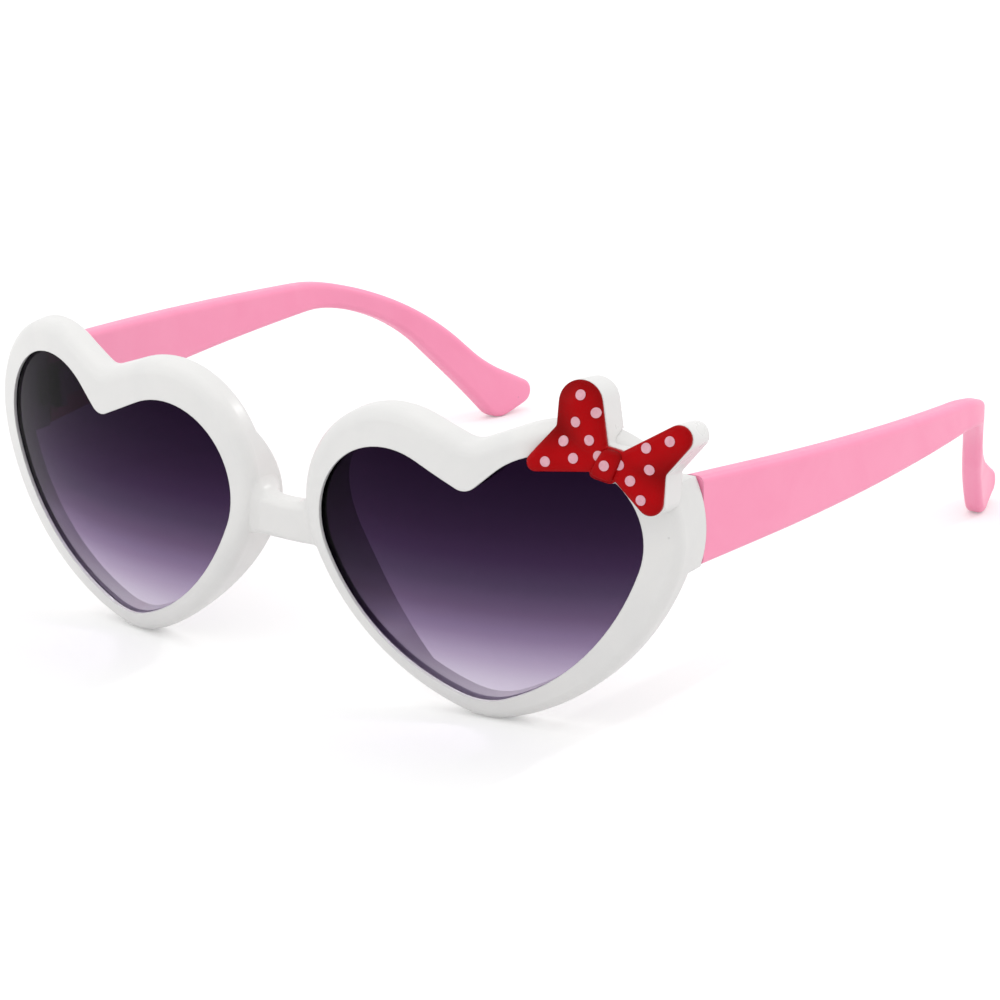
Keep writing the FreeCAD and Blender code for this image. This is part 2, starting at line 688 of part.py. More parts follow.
def bow_layer(name, height, deep, grow="0", soft=None):
    """Both wings and the middle of the bow as one flat layer, its wings rounded at the top by soft."""
    blocks = []
    for word, rollers in (("a", WING_A), ("b", WING_B), ("knot", KNOT)):
        outline = belt("%s_%s_outline" % (name, word), rollers, on_bow(height), None, grow)
        block = extrude("%s_%s" % (name, word), outline, "Sizes." + deep)
        if soft and word != "knot":
            block = soften("%s_%s_soft" % (name, word), block, upper(height + size(deep)), size(soft))
        blocks.append(block)
    return fuse(name, blocks)


base_block = bow_layer("base_block", 0, "bow_base_deep", "Sizes.bow_edge")
behind_ball = add("Part::Sphere", "behind_ball", {
    "Radius": "Sizes.lens_curve + Sizes.rim_proud - Sizes.rim_depth / 2"})
behind_ball.Placement = FreeCAD.Placement(lens_hub, FreeCAD.Rotation())
behind_rim = boolean("Common", "behind_rim", rim_heart, behind_ball)
base_cut = boolean("Cut", "base_cut", base_block, fuse("base_room", [rim_soft, behind_rim]))
outward = bow.Rotation.multVec(V(0, 0, 1))
pegs = []
peg_holes = []
for word in "ab":
    foot = on_bow(0).multiply(at(size("peg_%s_x" % word), size("peg_%s_y" % word), 0))
    # Height above the bow's back at which the peg leaves the rim's face
    gap = foot.Base - lens_hub
    lean = gap.dot(outward)
    face_at = -lean + math.sqrt(lean ** 2 - gap.dot(gap) + rim_face_radius ** 2)
    peg_low = face_at - size("peg_deep")
    for name, radius, low, found in (
            ("peg_", "Sizes.peg", peg_low, pegs),
            ("peg_hole_", "Sizes.peg + Sizes.peg_clear", peg_low - size("peg_end_clear"), peg_holes)):
        pin = add("Part::Cylinder", name + word, {
            "Radius": radius, "Height": "Sizes.peg_deep + Sizes.peg_root"})
        pin.Placement = foot.multiply(at(0, 0, low))
        found.append(pin)
bow_base = fuse("bow_base", [base_cut] + pegs)
front_frame = boolean("Cut", "front_frame", front_plain, fuse("peg_room", peg_holes))

# Red face over the base, raised knot over its middle, and the printed dots
face_low = size("bow_base_deep")
face_top = face_low + size("bow_face_deep")
bow_face = bow_layer("bow_face", face_low, "bow_face_deep", "0", "bow_face_soft")
knot_outline = belt("knot_cap_outline", KNOT, on_bow(face_top))
knot_block = extrude("knot_block", knot_outline, "Sizes.bow_knot_deep")
bow_knot = soften("bow_knot", knot_block, upper(face_top + size("bow_knot_deep")), size("bow_knot_soft"))

# Dots on the wings as seen from before, in steps of dot_grid, two of them under the knot, and one on the knot
WING_DOTS = [(-4.4, 9.2), (-2.0, 7.0), (-4.9, 5.45), (-6.65, 2.65), (-2.7, 3.2), (-9.0, -0.4), (-4.9, 0.5),
             (-1.85, 1.8), (5.65, 3.05), (9.0, 4.3), (6.15, 0.1), (3.6, -1.65), (5.3, -4.1), (2.7, 0.5)]
KNOT_DOTS = [(0.0, 0.1)]
discs = []
knot_top = face_top + size("bow_knot_deep")
for places, height in ((WING_DOTS, face_top), (KNOT_DOTS, knot_top)):
    for across, up in places:
        disc = add("Part::Cylinder", "disc_%d" % (len(discs) + 1), {
            "Radius": "Sizes.dot", "Height": "Sizes.dot_deep"})
        disc.Placement = on_bow(height).multiply(at(across * size("dot_grid"), up * size("dot_grid"), 0))
        discs.append(disc)
bow_dots = boolean("Cut", "bow_dots", fuse("disc_set", discs), knot_block)

NODES = [front_frame, lens_left, lens_right, temple_left, temple_right, front_leaf_left, front_leaf_right,
         arm_leaf_left, arm_leaf_right, screw_left, screw_right, rivets_left, rivets_right,
         bow_base, bow_face, bow_knot, bow_dots]
doc.recompute()
for obj in doc.Objects:
    if "Invalid" in obj.State or "Error" in obj.State:
        raise RuntimeError("%s did not compute: %s" % (obj.Name, obj.State))
os.makedirs("parts", exist_ok=True)
for obj in NODES:
    obj.Label = obj.Name
    shape = obj.Shape
    if shape.isNull() or not shape.isValid() or not shape.Solids:
        raise RuntimeError("%s has no sound solid" % obj.Name)
    shape.exportStep("parts/%s.step" % obj.Name)
    print(obj.Name, len(shape.Solids), "solids", round(shape.Volume, 2), "mm3")
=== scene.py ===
# Child's heart-shaped sunglasses: white moulded front, graded violet lenses, pink folding arms and a red
# polka-dot bow. Metres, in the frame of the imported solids: +Z up, the front looks along -Y.
import math

import bmesh
import bpy
from mathutils import Matrix, Vector


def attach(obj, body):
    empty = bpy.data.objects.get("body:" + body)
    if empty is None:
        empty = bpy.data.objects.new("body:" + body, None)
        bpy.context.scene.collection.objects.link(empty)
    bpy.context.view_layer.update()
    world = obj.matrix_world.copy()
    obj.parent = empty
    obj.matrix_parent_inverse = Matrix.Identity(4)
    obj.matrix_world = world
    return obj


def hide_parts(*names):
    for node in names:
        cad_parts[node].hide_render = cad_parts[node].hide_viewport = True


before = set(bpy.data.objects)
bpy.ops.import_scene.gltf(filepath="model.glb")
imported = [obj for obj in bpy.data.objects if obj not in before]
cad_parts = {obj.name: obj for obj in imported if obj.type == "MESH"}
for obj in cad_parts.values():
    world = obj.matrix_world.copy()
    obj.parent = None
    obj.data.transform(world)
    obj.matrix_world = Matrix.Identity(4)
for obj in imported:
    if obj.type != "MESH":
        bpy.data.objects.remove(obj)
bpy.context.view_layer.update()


# White front: both rims, the bridge, the nose walls and the end pieces are one injection moulding in white
# plastic. The mould leaves a soft gloss, a faint flow mottling and edges that are slightly rounded.
MM = 0.001
WHITE = (0.775, 0.769, 0.756, 1.0)
WHITE_FLOW = (0.745, 0.741, 0.732, 1.0)
# Lighter white along the edges: a painted highlight
WHITE_EDGE_HIGHLIGHT = (0.800, 0.795, 0.784, 1.0)
WHITE_TONES = (WHITE, WHITE_FLOW, WHITE_EDGE_HIGHLIGHT)
# Roughness where the surface is bright and where it is dull
WHITE_GLOSS = (0.28, 0.40)
WHITE_ROUNDING = 0.25 * MM
WHITE_PEEL = 0.035
PEEL_DEEP = 0.1 * MM
PLASTIC_IOR = 1.49
# Part of the noise that becomes mottling, from none to full
MOTTLE_FROM = 0.36
MOTTLE_FULL = 0.66
# How far the rounded and the true surface part where the edge mask is full, as a cosine
EDGE_TURN = 0.78
EDGE_POLISH = 0.8
BEVEL_RAYS = 6
# Specks: share of the places that hold one, its shade beside the plastic's, places in a metre, and
# radius as a share of their spacing
SPECK_SHARE = 0.12
SPECK_SHADE = 0.86
SPECK_SPACING = 150.0
SPECK_SIZE = 0.028
# The Mix node has a set of sockets for each kind of value: low end, high end and result
MIX_SOCKETS = {"FLOAT": (2, 3, 0), "RGBA": (6, 7, 2)}


def feed(tree, node, feeds):
    """Fills a node's sockets with plain values or with the outputs of other nodes."""
    for name, value in feeds.items():
        if isinstance(value, bpy.types.NodeSocket):
            tree.links.new(value, node.inputs[name])
        else:
            node.inputs[name].default_value = value


def put(tree, kind, feeds=None, **settings):
    """A new node with its settings and what feeds its sockets."""
    node = tree.nodes.new("ShaderNode" + kind)
    for name, value in settings.items():
        setattr(node, name, value)
    feed(tree, node, feeds or {})
    return node


def shared_effect(name, takes, gives):
    """An empty node group with named inputs (and their usual values) and named outputs."""
    tree = bpy.data.node_groups.new(name, "ShaderNodeTree")
    for word, value in takes.items():
        socket = tree.interface.new_socket(name=word, in_out="INPUT", socket_type="NodeSocketFloat")
        socket.default_value = value
    for word in gives:
        tree.interface.new_socket(name=word, in_out="OUTPUT", socket_type="NodeSocketFloat")
    return tree, tree.nodes.new("NodeGroupInput"), tree.nodes.new("NodeGroupOutput")


def moulded_skin_effect():
    """Flow mottling, gloss that varies with it, and the fine orange-peel height of a moulded surface."""
    tree, takes, gives = shared_effect("moulded_skin", {"Grain": 420.0, "Flow": 90.0},
                                       ("Mottle", "Gloss", "Height"))
    place = put(tree, "TexCoord").outputs["Object"]
    peel = put(tree, "TexNoise", {"Vector": place, "Scale": takes.outputs["Grain"], "Detail": 2.0})
    flow = put(tree, "TexNoise", {"Vector": place, "Scale": takes.outputs["Flow"], "Detail": 5.0,
                                  "Roughness": 0.55, "Distortion": 0.8})
    mottle = put(tree, "MapRange", {"Value": flow.outputs["Fac"], "From Min": MOTTLE_FROM,
                                    "From Max": MOTTLE_FULL})
    gloss = put(tree, "Math", {0: mottle.outputs["Result"], 1: peel.outputs["Fac"]}, operation="MULTIPLY")
    feed(tree, gives, {"Mottle": mottle.outputs["Result"], "Gloss": gloss.outputs["Value"],
                       "Height": peel.outputs["Fac"]})
    return tree


def edge_rub_and_highlight_effect():
    """Mask of edges and corners within a reach of them, for handling's polish and a painted highlight."""
    tree, takes, gives = shared_effect("edge_rub_and_highlight", {"Reach": WHITE_ROUNDING}, ("Edge",))
    rounded = put(tree, "Bevel", {"Radius": takes.outputs["Reach"]}, samples=BEVEL_RAYS)
    surface = put(tree, "NewGeometry")
    facing = put(tree, "VectorMath", {0: rounded.outputs["Normal"], 1: surface.outputs["Normal"]},
                 operation="DOT_PRODUCT")
    edge = put(tree, "MapRange", {"Value": facing.outputs["Value"], "From Min": 1.0, "From Max": EDGE_TURN})
    feed(tree, gives, {"Edge": edge.outputs["Result"]})
    return tree


def specks_effect():
    """Mask of sparse round specks of dust or dirt. Size is their radius as a share of their spacing."""
    tree, takes, gives = shared_effect("specks", {"Spacing": SPECK_SPACING, "Size": SPECK_SIZE}, ("Speck",))
    place = put(tree, "TexCoord").outputs["Object"]
    cells = put(tree, "TexVoronoi", {"Vector": place, "Scale": takes.outputs["Spacing"]})
    near = put(tree, "Math", {0: cells.outputs["Distance"], 1: takes.outputs["Size"]}, operation="LESS_THAN")
    lot = put(tree, "SeparateColor", {"Color": cells.outputs["Color"]})
    some = put(tree, "Math", {0: lot.outputs["Red"], 1: SPECK_SHARE}, operation="LESS_THAN")
    speck = put(tree, "Math", {0: near.outputs["Value"], 1: some.outputs["Value"]}, operation="MULTIPLY")
    feed(tree, gives, {"Speck": speck.outputs["Value"]})
    return tree


MOULDED_SKIN = moulded_skin_effect()
EDGE_RUB_AND_HIGHLIGHT = edge_rub_and_highlight_effect()
SPECKS = specks_effect()


def effect(tree, group, **values):
    """The outputs of a shared effect, placed in one material with that material's own values."""
    return put(tree, "Group", values, node_tree=group).outputs


def blank_material(name):
    """A new material with its shader and result, and nothing fed to the shader yet."""
    material = bpy.data.materials.new(name)
    material.use_nodes = True
    tree = material.node_tree
    tree.nodes.clear()
    shader = put(tree, "BsdfPrincipled")
    result = put(tree, "OutputMaterial", {"Surface": shader.outputs["BSDF"]})
    return material, tree, shader, result


def mixed(tree, kind, share, low, high):
    """Between low and high by a share from 0 to 1, for plain values (FLOAT) or colours (RGBA)."""
    low_end, high_end, result = MIX_SOCKETS[kind]
    return put(tree, "Mix", {0: share, low_end: low, high_end: high}, data_type=kind).outputs[result]


def tint(tree, share, low, high):
    """Colour between low and high by a share from 0 to 1."""
    return mixed(tree, "RGBA", share, low, high)


def between(tree, share, low, high):
    """Value between low and high by a share that is cut off at 0 and 1."""
    return put(tree, "MapRange", {"Value": share, "To Min": low, "To Max": high}).outputs["Result"]


def moulded_plastic(name, tones, gloss, rounding, peel):
    """Injection-moulded plastic: body, flow and painted edge highlight colours; gloss from bright to dull.
    """
    body, flow, edge = tones
    bright, dull = gloss
    speck_tone = tuple(SPECK_SHADE * value for value in body[:3]) + (1.0,)
    material, tree, shader, _ = blank_material(name)
    skin = effect(tree, MOULDED_SKIN)
    rub_and_highlight = effect(tree, EDGE_RUB_AND_HIGHLIGHT, Reach=rounding)
    dirt = effect(tree, SPECKS)
    colour = tint(tree, skin["Mottle"], body, flow)
    # Painted highlight: the edges are lighter than the body
    colour = tint(tree, rub_and_highlight["Edge"], colour, edge)
    colour = tint(tree, dirt["Speck"], colour, speck_tone)
    rough = between(tree, skin["Gloss"], bright, dull)
    rough = mixed(tree, "FLOAT", rub_and_highlight["Edge"], rough, bright * EDGE_POLISH)
    soft = put(tree, "Bevel", {"Radius": rounding}, samples=BEVEL_RAYS)
    bump = put(tree, "Bump", {"Strength": peel, "Distance": PEEL_DEEP, "Height": skin["Height"],
                              "Normal": soft.outputs["Normal"]})
    feed(tree, shader, {"Base Color": colour, "Roughness": rough, "Normal": bump.outputs["Normal"],
                        "IOR": PLASTIC_IOR})
    return material


def coat(mesh, material):
    """Gives a mesh one finish all over."""
    mesh.materials.clear()
    mesh.materials.append(material)


def finish_nodes(material, *names):
    """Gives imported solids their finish."""
    for name in names:
        coat(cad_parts[name].data, material)


white_plastic = moulded_plastic("white_plastic", WHITE_TONES, WHITE_GLOSS, WHITE_ROUNDING, WHITE_PEEL)
finish_nodes(white_plastic, "front_frame")


# Bridge web: the rounded flesh with which the bridge flows into both rims, part of the same white moulding.
# It is the middle of the front swelled and shrunk back, which fills the corners beside the bridge. Elsewhere
# it lies just inside the front.
FRONT_MIDDLE = Vector((0.0, -64.154, 23.828)) * MM
FRONT_LEAN = math.radians(4.0)
FRONT_UP = Vector((0.0, -math.sin(FRONT_LEAN), math.cos(FRONT_LEAN)))
ACROSS = Vector((1.0, 0.0, 0.0))
WEB_HALF = 9.0 * MM
WEB_VOXEL = 0.2 * MM
WEB_FILL = 2.4 * MM
WEB_SINK = 0.05 * MM
# Rounds of easing after the swelling and after the shrinking, and the strength of each round
WEB_SWELL_EASE = 8
WEB_SHRINK_EASE = 5
EASE = 0.5
# How far the web goes up, down and sideways from the bridge's middle before it sinks into the front, how
# steeply and how deep it sinks, and how much further out it is trimmed off
WEB_TOP = 6.6 * MM
WEB_FOOT = 4.2 * MM
WEB_SIDE = 5.6 * MM
WEB_FADE = 0.5
WEB_DEEPEST = 0.8 * MM
WEB_TRIM = 1.6 * MM
WELD = 0.001 * MM


def trim(mesh, cuts):
    """Cuts away what lies beyond planes, each given by its outward side and its distance from the middle."""
    net = bmesh.new()
    net.from_mesh(mesh)
    bmesh.ops.remove_doubles(net, verts=net.verts, dist=WELD)
    for outward, reach in cuts:
        everything = net.verts[:] + net.edges[:] + net.faces[:]
        bmesh.ops.bisect_plane(net, geom=everything, dist=WELD, plane_co=FRONT_MIDDLE + outward * reach,
                               plane_no=outward, clear_outer=True)
        bmesh.ops.holes_fill(net, edges=[edge for edge in net.edges if edge.is_boundary], sides=0)
    net.to_mesh(mesh)
    net.free()


def placed(name, data):
    """A new object in the scene."""
    piece = bpy.data.objects.new(name, data)
    bpy.context.scene.collection.objects.link(piece)
    return piece


def even_out(piece, voxel):
    """Adds a step that rebuilds a piece in an even mesh."""
    step = piece.modifiers.new("even", "REMESH")
    step.mode = "VOXEL"
    step.voxel_size = voxel


def push_out(piece, reach):
    """Adds a step that moves a piece's whole surface outwards."""
    step = piece.modifiers.new("push", "DISPLACE")
    step.mid_level = 0.0
    step.strength = reach


def ease_off(piece, rounds):
    """Adds a step that rounds a piece's edges and fills its corners."""
    step = piece.modifiers.new("ease", "SMOOTH")
    step.factor = EASE
    step.iterations = rounds


def settle(piece):
    """Makes the steps added to a piece part of its mesh."""
    graph = bpy.context.evaluated_depsgraph_get()
    finished = bpy.data.meshes.new_from_object(piece.evaluated_get(graph))
    piece.modifiers.clear()
    piece.data = finished
    return finished


def shade_smooth(mesh):
    """Lets light run over a mesh without facets."""
    for face in mesh.polygons:
        face.use_smooth = True


front_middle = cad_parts["front_frame"].data.copy()
trim(front_middle, [(ACROSS, WEB_HALF), (-ACROSS, WEB_HALF)])
bridge_web = placed("bridge_web", front_middle)
for reach, rounds in ((WEB_FILL, WEB_SWELL_EASE), (-WEB_FILL - WEB_SINK, WEB_SHRINK_EASE)):
    even_out(bridge_web, WEB_VOXEL)
    push_out(bridge_web, reach)
    even_out(bridge_web, WEB_VOXEL)
    ease_off(bridge_web, rounds)
web_mesh = settle(bridge_web)
sinks = []
for vertex in web_mesh.vertices:
    height = (vertex.co - FRONT_MIDDLE).dot(FRONT_UP)
    beyond = max(0.0, height - WEB_TOP, -height - WEB_FOOT, abs(vertex.co.x) - WEB_SIDE)
    sinks.append(vertex.normal * min(WEB_DEEPEST, WEB_FADE * beyond))
for vertex, sink in zip(web_mesh.vertices, sinks):
    vertex.co -= sink
trim(web_mesh, [(ACROSS, WEB_SIDE + WEB_TRIM), (-ACROSS, WEB_SIDE + WEB_TRIM),
                (FRONT_UP, WEB_TOP + WEB_TRIM), (-FRONT_UP, WEB_FOOT + WEB_TRIM)])
web_mesh.update()
shade_smooth(web_mesh)
coat(web_mesh, white_plastic)
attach(bridge_web, "front")


# Lenses: spherical pieces of clear plastic, dip-dyed violet grey from the top, so that the tint fades down
# to pale lilac at the point of the heart. Each is snapped into the groove of its rim.
DYE_TOP = 17.0 * MM
DYE_FOOT = -21.0 * MM
# Light that comes through at heights above the bridge's middle, in millimetres
DYE = [
    (-20.0, (0.720, 0.660, 0.790)),
    (-18.0, (0.620, 0.560, 0.690)),
    (-14.0, (0.405, 0.335, 0.475)),
    (-10.0, (0.225, 0.166, 0.283)),
    (-6.0, (0.119, 0.080, 0.152)),
    (-2.0, (0.063, 0.042, 0.087)),
    (2.0, (0.038, 0.020, 0.054)),
    (6.0, (0.024, 0.0115, 0.034)),
    (10.0, (0.016, 0.0075, 0.0235)),
    (15.0, (0.0105, 0.0040, 0.0155)),
]
LENS_DUST = (0.42, 0.38, 0.46, 1.0)
LENS_DUST_SPACING = 120.0
LENS_DUST_SIZE = 0.03
LENS_GRAIN = 900.0
LENS_FLOW = 60.0
LENS_GLOSS = (0.02, 0.05)
# A low index and a dark reflection: the thin lens hardly bends or mirrors, so the depth of its dye shows
LENS_IOR = 1.15
LENS_MIRROR = (0.10, 0.10, 0.10, 1.0)
SHADOW_THINNING = 0.5


def dye_ramp(tree):
    """The dye's colour, by the height on the leaning front."""
    place = put(tree, "TexCoord").outputs["Object"]
    height = put(tree, "VectorMath", {0: place, 1: FRONT_UP}, operation="DOT_PRODUCT")
    middle = FRONT_UP.dot(FRONT_MIDDLE)
    share = put(tree, "MapRange", {"Value": height.outputs["Value"], "From Min": middle + DYE_FOOT,
                                   "From Max": middle + DYE_TOP})
    ramp = put(tree, "ValToRGB", {"Fac": share.outputs["Result"]})
    stops = ramp.color_ramp.elements
    while len(stops) > 1:
        stops.remove(stops[-1])
    for index, (level, colour) in enumerate(DYE):
        where = (level * MM - DYE_FOOT) / (DYE_TOP - DYE_FOOT)
        stop = stops[0] if index == 0 else stops.new(where)
        stop.position = where
        stop.color = colour + (1.0,)
    return ramp.outputs["Color"]


def dyed_lens():
    """Clear plastic with the graded dye, a little dust, and a tinted shadow."""
    material, tree, shader, result = blank_material("dyed_lens")
    dye = dye_ramp(tree)
    dust = effect(tree, SPECKS, Spacing=LENS_DUST_SPACING, Size=LENS_DUST_SIZE)
    skin = effect(tree, MOULDED_SKIN, Grain=LENS_GRAIN, Flow=LENS_FLOW)
    feed(tree, shader, {"Base Color": tint(tree, dust["Speck"], dye, LENS_DUST),
                        "Roughness": between(tree, skin["Gloss"], *LENS_GLOSS),
                        "Transmission Weight": 1.0, "IOR": LENS_IOR, "Specular Tint": LENS_MIRROR})
    # Light passes through the dye to what lies behind, so the lens throws a tinted shadow
    path = put(tree, "LightPath")
    thinned = put(tree, "Gamma", {"Color": dye, "Gamma": SHADOW_THINNING})
    clear = put(tree, "BsdfTransparent", {"Color": thinned.outputs["Color"]})
    choice = put(tree, "MixShader", {0: path.outputs["Is Shadow Ray"], 1: shader.outputs["BSDF"],
                                     2: clear.outputs["BSDF"]})
    feed(tree, result, {"Surface": choice.outputs["Shader"]})
    return material


finish_nodes(dyed_lens(), "lens_left", "lens_right")


# Pink arms: flat bars moulded in pink plastic, bowed round the head and turned down behind the ear, with a
# satin surface that is a little duller than the front's. Each turns on its hinge.
PINK = (0.985, 0.318, 0.500, 1.0)
PINK_FLOW = (0.970, 0.298, 0.478, 1.0)
# Lighter pink along the edges: a painted highlight
PINK_EDGE_HIGHLIGHT = (0.985, 0.370, 0.545, 1.0)
PINK_TONES = (PINK, PINK_FLOW, PINK_EDGE_HIGHLIGHT)
PINK_GLOSS = (0.36, 0.50)
PINK_ROUNDING = 0.3 * MM
PINK_PEEL = 0.05

pink_plastic = moulded_plastic("pink_plastic", PINK_TONES, PINK_GLOSS, PINK_ROUNDING, PINK_PEEL)
finish_nodes(pink_plastic, "temple_left", "temple_right")


# Hinges: leaves, screws and rivets are small steel pieces, pressed and turned, then nickel plated. The leaf
# in the front is moulded in, the one in the arm is let in and held by its two rivets.
NICKEL = (0.560, 0.548, 0.525, 1.0)
NICKEL_DULL = (0.490, 0.479, 0.460, 1.0)
# Brighter nickel along the edges: a painted highlight
NICKEL_EDGE_HIGHLIGHT = (0.780, 0.765, 0.740, 1.0)
NICKEL_WEAR = 0.12 * MM
NICKEL_SKIN = {"grain": 5200.0, "flow": 900.0, "gloss": (0.24, 0.40), "peel": 0.12, "deep": 0.05 * MM}


def fine_skin(name, grain, flow, gloss, peel, deep):
    """A finish with the gloss and fine relief of a skin of its own scale, and no colour fed yet."""
    material, tree, shader, _ = blank_material(name)
    skin = effect(tree, MOULDED_SKIN, Grain=grain, Flow=flow)
    bump = put(tree, "Bump", {"Strength": peel, "Distance": deep, "Height": skin["Height"]})
    feed(tree, shader, {"Roughness": between(tree, skin["Gloss"], *gloss),
                        "Normal": bump.outputs["Normal"]})
    return material, tree, shader, skin["Mottle"]


def nickel_plate():
    """Plated steel, dulled in patches, with a painted highlight along its edges."""
    material, tree, shader, mottle = fine_skin("nickel_plate", **NICKEL_SKIN)
    rub_and_highlight = effect(tree, EDGE_RUB_AND_HIGHLIGHT, Reach=NICKEL_WEAR)
    colour = tint(tree, mottle, NICKEL, NICKEL_DULL)
    # Painted highlight: the edges are brighter than the plate
    feed(tree, shader, {"Base Color": tint(tree, rub_and_highlight["Edge"], colour, NICKEL_EDGE_HIGHLIGHT), "Metallic": 1.0})
    return material


finish_nodes(nickel_plate(), "hinge_front_leaf_left", "hinge_front_leaf_right", "hinge_temple_leaf_left",
             "hinge_temple_leaf_right", "hinge_screw_left", "hinge_screw_right", "leaf_rivets_left",
             "leaf_rivets_right")


# Base of the bow: a thick white moulding with two pegs pushed into the rim, its edges softened in the mould.
# Its sides show all round the red face.
BASE_GLOSS = (0.26, 0.38)
BASE_ROUNDING = 0.2 * MM
BASE_PEEL = 0.03
BASE_VOXEL = 0.16 * MM
BOW_EASE = 6


def even_copy(node, name, voxel):
    """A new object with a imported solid's shape in an even mesh whose edges are slightly rounded."""
    piece = placed(name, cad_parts[node].data.copy())
    even_out(piece, voxel)
    ease_off(piece, BOW_EASE)
    shade_smooth(settle(piece))
    return piece


def dress(piece, material, node):
    """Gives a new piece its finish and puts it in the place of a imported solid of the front."""
    coat(piece.data, material)
    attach(piece, "front")
    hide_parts(node)


bow_white = moulded_plastic("bow_white", WHITE_TONES, BASE_GLOSS, BASE_ROUNDING, BASE_PEEL)
bow_foot = even_copy("bow_base", "bow_base_rounded", BASE_VOXEL)
dress(bow_foot, bow_white, "bow_base")


# Red face of the bow: a thin moulding on the base, each wing swelling into an upper and a lower lobe with a
# hollow between them that runs from the notch to the knot. It is sprayed with glossy red lacquer. The red is
# painted darker where the lobes fall away from their crown, as painted shade.
# The lacquer's red, its random mottling, and a darker red painted as shade where the face falls away
RED = (0.425, 0.0012, 0.0034, 1.0)
RED_MOTTLE = (0.380, 0.0010, 0.0028, 1.0)
RED_PAINTED_SHADE = (0.190, 0.0004, 0.0010, 1.0)
LACQUER_SKIN = {"grain": 1500.0, "flow": 260.0, "gloss": (0.09, 0.18), "peel": 0.20, "deep": 0.1 * MM}
LACQUER_SHINE = 0.06
BOW_MIDDLE = Vector((53.100, -54.324, 40.955)) * MM
BOW_TURN = math.radians(10.004)
BOW_TILT = math.radians(14.3)
BOW_FRAME = (Matrix.Translation(BOW_MIDDLE) @ Matrix.Rotation(math.radians(90.0) + FRONT_LEAN, 4, "X")
             @ Matrix.Rotation(BOW_TURN, 4, "Y") @ Matrix.Rotation(-BOW_TILT, 4, "X"))
INTO_BOW = BOW_FRAME.inverted()
FACE_BACK = 5.8 * MM
FACE_TOP = 7.0 * MM
FACE_VOXEL = 0.14 * MM
FACE_LAP = 0.18 * MM
# Middle line of each lobe in the bow's own frame, from the knot outwards
LOBE_LINES = [
    (Vector((-0.8, 0.6)) * MM, Vector((-4.5, 7.6)) * MM),
    (Vector((-0.8, 0.2)) * MM, Vector((-10.2, -0.4)) * MM),
    (Vector((0.9, 0.3)) * MM, Vector((9.7, 4.4)) * MM),
    (Vector((0.9, -0.6)) * MM, Vector((6.3, -4.2)) * MM),
]
SWELL = 0.070 / MM
SWELL_LIMIT = 0.90 * MM
SWELL_BLEND = 0.9 * MM * MM


def line_distance(point, start, end):
    """Distance from a point to a line between two ends."""
    along = end - start
    share = min(1.0, max(0.0, (point - start).dot(along) / along.length_squared))
    return (point - start - along * share).length


def lobe_drop(x, y):
    """How far the face lies below its crown: it falls away from the middle line of the nearest lobe."""
    near = [line_distance(Vector((x, y)), *ends) ** 2 for ends in LOBE_LINES]
    least = min(near)
    blended = least - SWELL_BLEND * math.log(sum(math.exp((least - n) / SWELL_BLEND) for n in near))
    return SWELL_LIMIT * math.tanh(SWELL * max(0.0, blended) / SWELL_LIMIT)


def spread(mesh, reach):
    """Moves the sides of a mesh outwards in the plane of the bow."""
    turn = BOW_FRAME.to_3x3()
    flatten = turn @ Matrix.Diagonal((1.0, 1.0, 0.0)) @ turn.inverted()
    moves = [flatten @ vertex.normal * reach for vertex in mesh.vertices]
    for vertex, move in zip(mesh.vertices, moves):
        vertex.co += move
    mesh.update()


def swell(mesh, back, top):
    """Lowers a mesh by the lobes' fall (full at the top, none at the back), kept as painted shade."""
    painted_shade = mesh.attributes.new("painted_shade", "FLOAT", "POINT")
    for vertex in mesh.vertices:
        spot = INTO_BOW @ vertex.co
        fall = lobe_drop(spot.x, spot.y)
        # Painted shade: the fall darkens the red where the face slopes away
        painted_shade.data[vertex.index].value = fall / SWELL_LIMIT
        spot.z -= fall * min(1.0, max(0.0, (spot.z - back) / (top - back)))
        vertex.co = BOW_FRAME @ spot
    mesh.update()


def red_lacquer():
    """Glossy red lacquer over the moulding, with painted shade: darker red where the face falls away."""
    material, tree, shader, mottle = fine_skin("red_lacquer", **LACQUER_SKIN)
    painted_shade = put(tree, "Attribute", attribute_name="painted_shade").outputs["Fac"]
    colour = tint(tree, mottle, RED, RED_MOTTLE)
    # Painted shade: the lacquer is darker red where the face falls away from its crown
    feed(tree, shader, {"Base Color": tint(tree, painted_shade, colour, RED_PAINTED_SHADE),
                        "Specular IOR Level": LACQUER_SHINE})
    return material


lacquer = red_lacquer()
red_face = even_copy("bow_face", "bow_face_swelled", FACE_VOXEL)
spread(red_face.data, FACE_LAP)
swell(red_face.data, FACE_BACK, FACE_TOP)
dress(red_face, lacquer, "bow_face")


# Knot of the bow: a small cushioned pad moulded over the middle of the face and sprayed with it. It falls
# away from its crown to its edges, which bed into both wings.
KNOT_CROWN = 7.8 * MM
KNOT_FALL = 0.075 / MM
KNOT_ROOT = 0.7 * MM
KNOT_VOXEL = 0.11 * MM


def knot_drop(x, y):
    """How far the knot lies below its crown."""
    return KNOT_FALL * (x * x + y * y)


knot = even_copy("bow_knot", "bow_knot_swelled", KNOT_VOXEL)
# The knot's fall is kept to paint shade into its red
knot_painted_shade = knot.data.attributes.new("painted_shade", "FLOAT", "POINT")
for vertex in knot.data.vertices:
    spot = INTO_BOW @ vertex.co
    share = (spot.z - FACE_TOP) / (KNOT_CROWN - FACE_TOP)
    fall = knot_drop(spot.x, spot.y)
    # Painted shade: the knot's red darkens down its sides and towards its foot
    knot_painted_shade.data[vertex.index].value = min(1.0, fall / SWELL_LIMIT + 1.0 - share)
    spot.z -= share * fall + (1.0 - share) * KNOT_ROOT
    vertex.co = BOW_FRAME @ spot
knot.data.update()
dress(knot, lacquer, "bow_knot")


